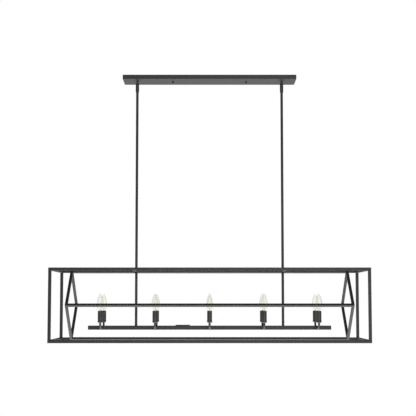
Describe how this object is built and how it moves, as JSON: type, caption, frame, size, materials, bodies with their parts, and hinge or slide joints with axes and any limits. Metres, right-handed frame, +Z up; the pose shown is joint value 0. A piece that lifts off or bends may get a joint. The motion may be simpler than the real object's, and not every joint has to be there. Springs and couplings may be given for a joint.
{
  "type": "linear island pendant",
  "caption": "Open box-frame island pendant hung on swivel rods below a long canopy, with an inner prism frame ending in diamonds and a light bar carrying rows of candle lamps.",
  "frame": {"origin": "middle of the mounting bar's top face, which lies on the ceiling", "axes": "+Z up into the ceiling, +X along the light, -Y towards the side seen in the picture"},
  "size_m": [1.524, 0.3556, 1.3116],
  "materials": {
    "black_powder_coat": "satin black powder coat on steel tube",
    "zinc_plated_steel": "bright zinc plate on turned and folded steel",
    "clear_lamp_glass": "clear blown glass, polished",
    "socket_phenolic": "moulded black phenolic",
    "wire_insulation": "black insulation",
    "connector_plastic": "moulded orange plastic",
    "green_screw": "green lacquered steel screw"
  },
  "bodies": {
    "ceiling_assembly": {"mounting_bar": "zinc_plated_steel", "mounting_studs": "zinc_plated_steel", "stud_nuts": "zinc_plated_steel", "ground_screw": "green_screw", "canopy": "black_powder_coat", "canopy_cap_nuts": "black_powder_coat", "swivel_seats": "black_powder_coat", "wire_connectors": "connector_plastic", "supply_leads": "wire_insulation"},
    "hanging_frame": {"back_bottom_rail": "black_powder_coat", "back_left_post": "black_powder_coat", "back_right_post": "black_powder_coat", "back_top_rail": "black_powder_coat", "bar_end_caps": "black_powder_coat", "bar_lock_nuts": "zinc_plated_steel", "bar_top_cover": "black_powder_coat", "candle_arms": "black_powder_coat", "candle_sleeves": "black_powder_coat", "crossbar_left": "black_powder_coat", "crossbar_nipples": "zinc_plated_steel", "crossbar_right": "black_powder_coat", "front_bottom_rail": "black_powder_coat", "front_left_post": "black_powder_coat", "front_right_post": "black_powder_coat", "front_top_rail": "black_powder_coat", "lamp_sockets": "socket_phenolic", "left_bottom_rail": "black_powder_coat", "left_diamond": "black_powder_coat", "left_top_rail": "black_powder_coat", "light_bar": "black_powder_coat", "lower_rod_left": "black_powder_coat", "lower_rod_right": "black_powder_coat", "prism_back_rail": "black_powder_coat", "prism_bottom_rail": "black_powder_coat", "prism_front_rail": "black_powder_coat", "prism_top_rail": "black_powder_coat", "right_bottom_rail": "black_powder_coat", "right_diamond": "black_powder_coat", "right_top_rail": "black_powder_coat", "rod_1_left": "black_powder_coat", "rod_1_right": "black_powder_coat", "rod_2_left": "black_powder_coat", "rod_2_right": "black_powder_coat", "rod_3_left": "black_powder_coat", "rod_3_right": "black_powder_coat", "rod_couplers": "black_powder_coat", "rod_nipples": "zinc_plated_steel", "socket_cups": "black_powder_coat", "swivel_balls": "black_powder_coat", "wiring_harness": "wire_insulation"},
    "bulb_1": {"lamp_1": "clear_lamp_glass"},
    "bulb_2": {"lamp_2": "clear_lamp_glass"},
    "bulb_3": {"lamp_3": "clear_lamp_glass"},
    "bulb_4": {"lamp_4": "clear_lamp_glass"},
    "bulb_5": {"lamp_5": "clear_lamp_glass"},
    "bulb_6": {"lamp_6": "clear_lamp_glass"},
    "bulb_7": {"lamp_7": "clear_lamp_glass"},
    "bulb_8": {"lamp_8": "clear_lamp_glass"},
    "bulb_9": {"lamp_9": "clear_lamp_glass"},
    "bulb_10": {"lamp_10": "clear_lamp_glass"}
  },
  "joints": [
    {"name": "swing", "type": "hinge", "parent": "ceiling_assembly", "child": "hanging_frame", "pos_m": [0, 0, -0.01597], "axis": [1, 0, 0], "range_deg": [-22, 22]},
    {"name": "unscrew_1", "type": "slide", "parent": "hanging_frame", "child": "bulb_1", "axis": [0, 0, 1], "range_m": [0, 0.02]},
    {"name": "unscrew_2", "type": "slide", "parent": "hanging_frame", "child": "bulb_2", "axis": [0, 0, 1], "range_m": [0, 0.02]},
    {"name": "unscrew_3", "type": "slide", "parent": "hanging_frame", "child": "bulb_3", "axis": [0, 0, 1], "range_m": [0, 0.02]},
    {"name": "unscrew_4", "type": "slide", "parent": "hanging_frame", "child": "bulb_4", "axis": [0, 0, 1], "range_m": [0, 0.02]},
    {"name": "unscrew_5", "type": "slide", "parent": "hanging_frame", "child": "bulb_5", "axis": [0, 0, 1], "range_m": [0, 0.02]},
    {"name": "unscrew_6", "type": "slide", "parent": "hanging_frame", "child": "bulb_6", "axis": [0, 0, 1], "range_m": [0, 0.02]},
    {"name": "unscrew_7", "type": "slide", "parent": "hanging_frame", "child": "bulb_7", "axis": [0, 0, 1], "range_m": [0, 0.02]},
    {"name": "unscrew_8", "type": "slide", "parent": "hanging_frame", "child": "bulb_8", "axis": [0, 0, 1], "range_m": [0, 0.02]},
    {"name": "unscrew_9", "type": "slide", "parent": "hanging_frame", "child": "bulb_9", "axis": [0, 0, 1], "range_m": [0, 0.02]},
    {"name": "unscrew_10", "type": "slide", "parent": "hanging_frame", "child": "bulb_10", "axis": [0, 0, 1], "range_m": [0, 0.02]}
  ]
}
